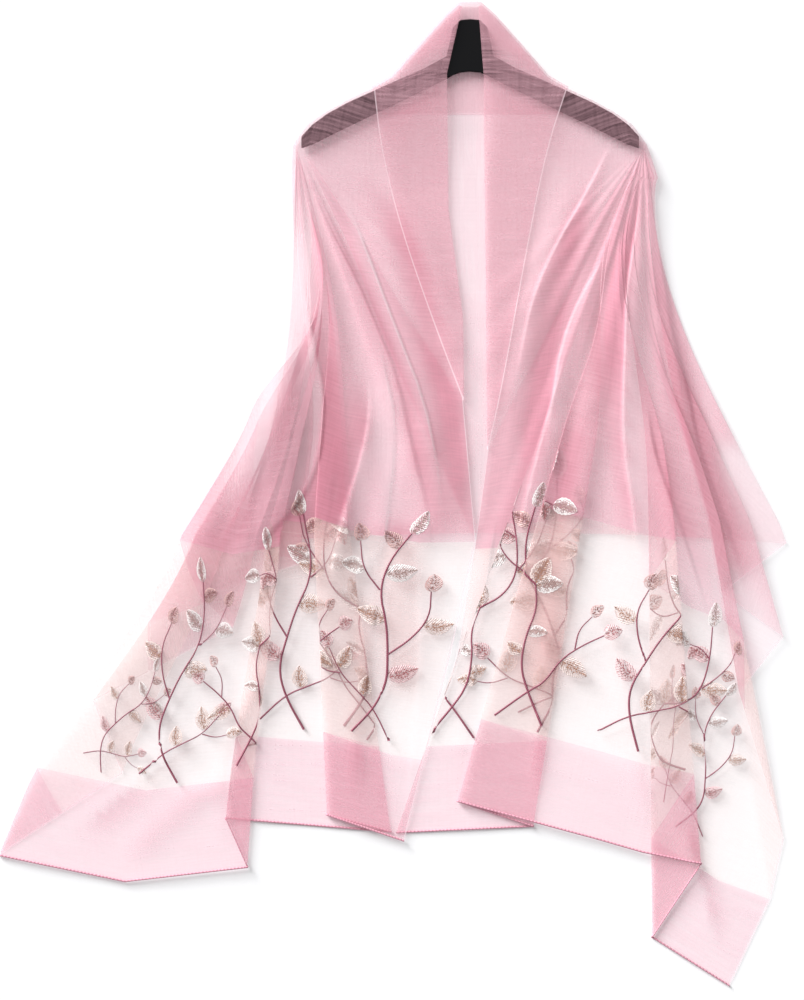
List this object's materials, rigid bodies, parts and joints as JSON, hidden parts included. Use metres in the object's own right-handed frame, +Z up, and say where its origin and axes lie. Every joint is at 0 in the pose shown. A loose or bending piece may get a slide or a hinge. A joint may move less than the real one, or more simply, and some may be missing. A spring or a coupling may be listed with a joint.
{
  "type": "evening stole on hanger",
  "caption": "Sheer evening stole with a turned-out shawl collar and clear bordered ends, folded in a fan over a wide-shouldered hanger and laid flat.",
  "frame": {"origin": "centre of the laid-out outline, on the surface that it lies on", "axes": "+X towards the stole's left side as seen by whoever would wear it, which is image right; +Y towards the collar; +Z up, away from the surface"},
  "size_m": [0.8748, 1.092, 0.0136],
  "materials": {
    "pink_silk": "sheer, fine slub weave",
    "clear_organza": "nearly clear plain weave",
    "pink_border": "sheer, fine slub weave",
    "rolled_hem": "narrow rolled and stitched",
    "black_plastic": "satin moulded"
  },
  "bodies": {
    "root": {"back": "pink_silk", "collar": "pink_silk", "front_right": "pink_silk", "front_left": "pink_silk", "lapel_right": "pink_silk", "lapel_left": "pink_silk", "band_right": "clear_organza", "band_left": "clear_organza", "border_right": "pink_border", "border_left": "pink_border", "hem_right": "rolled_hem", "hem_left": "rolled_hem", "hanger": "black_plastic"}
  },
  "joints": []
}
